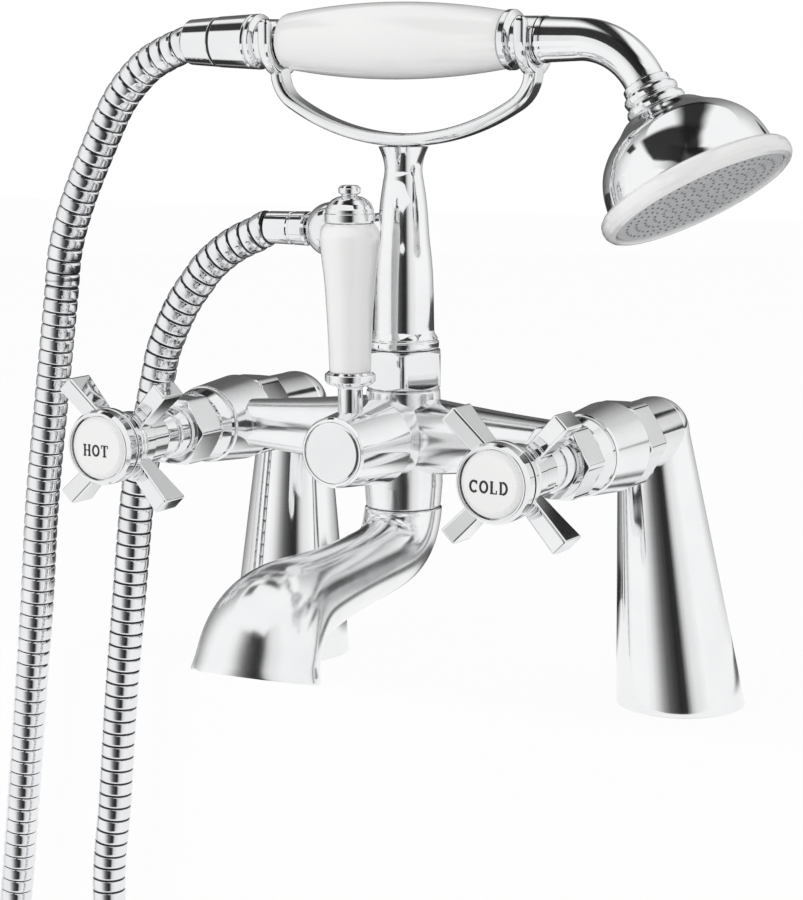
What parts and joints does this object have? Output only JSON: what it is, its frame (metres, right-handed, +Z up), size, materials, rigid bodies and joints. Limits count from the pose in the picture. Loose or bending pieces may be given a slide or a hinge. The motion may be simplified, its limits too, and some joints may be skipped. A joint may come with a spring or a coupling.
{
  "type": "bath shower mixer",
  "caption": "Deck mounted bath shower mixer on tapered pillar legs, with cross handles, lever diverter, curved spout, cradle, ribbed hose and a handset with a bell rose.",
  "frame": {"origin": "on the bath deck, midway between the two leg centres", "axes": "+Z up, front of the tap towards -Y, cold side towards +X"},
  "size_m": [0.3856, 0.2147, 0.7364],
  "materials": {
    "chrome": "polished chrome plate",
    "brass": "machined brass",
    "white_ceramic": "glazed white ceramic",
    "disc_ceramic": "lapped ceramic",
    "rubber": "matt",
    "steel": "turned",
    "spray_grey": "satin",
    "hose_metal": "ribbed metal hose"
  },
  "bodies": {
    "stand": {"deck_washers": "rubber", "tails": "brass", "backnut_washers": "rubber", "backnuts": "brass", "leg_hot": "chrome", "leg_cold": "chrome", "union_washers": "rubber", "union_nuts": "chrome", "mixer_body": "chrome", "bonnets": "chrome", "gland_nuts": "chrome", "bonnet_seals": "rubber", "fixed_discs": "disc_ceramic", "diverter_gland": "brass", "diverter_seal": "rubber", "diverter_seat": "disc_ceramic", "spout": "chrome", "spout_nipple": "brass", "spout_seal": "rubber", "pillar_nut": "chrome", "post_seal": "rubber", "cradle_post": "chrome", "cradle": "chrome", "cradle_screw": "steel", "outlet_ball": "chrome", "outlet_nut": "chrome", "outlet_washer": "rubber", "hose": "hose_metal"},
    "hot_valve": {"spindle_hot": "brass", "moving_disc_hot": "disc_ceramic", "handle_hot": "chrome", "handle_screw_hot": "steel", "index_rim_hot": "chrome", "index_hot": "white_ceramic"},
    "cold_valve": {"spindle_cold": "brass", "moving_disc_cold": "disc_ceramic", "handle_cold": "chrome", "handle_screw_cold": "steel", "index_rim_cold": "chrome", "index_cold": "white_ceramic"},
    "diverter": {"diverter_spindle": "brass", "diverter_plate": "disc_ceramic", "diverter_drum": "chrome", "drum_screw": "steel", "drum_cover": "chrome", "lever_stem": "chrome", "lever_grip": "white_ceramic", "lever_cap": "chrome", "lever_finial": "chrome"},
    "handset": {"hose_cone": "chrome", "handset_washer": "rubber", "handset_core": "brass", "rear_collar": "chrome", "grip": "white_ceramic", "front_collar": "chrome", "handset_arm": "chrome", "rose_nut": "chrome", "rose_bell": "chrome", "rose_ring": "white_ceramic", "spray_plate": "spray_grey"}
  },
  "joints": [
    {"name": "hot_handle", "type": "hinge", "parent": "stand", "child": "hot_valve", "pos_m": [-0.081, -0.13, 0.108], "axis": [0, -1, 0], "range_deg": [0, 90]},
    {"name": "cold_handle", "type": "hinge", "parent": "stand", "child": "cold_valve", "pos_m": [0.081, -0.13, 0.108], "axis": [0, 1, 0], "range_deg": [0, 90]},
    {"name": "diverter_lever", "type": "hinge", "parent": "stand", "child": "diverter", "pos_m": [0, -0.1, 0.108], "axis": [0, -1, 0], "range_deg": [-45, 45]},
    {"name": "handset_lift", "type": "slide", "parent": "stand", "child": "handset", "axis": [0, 0, 1], "range_m": [0, 0.06], "deforming": ["hose"]}
  ]
}
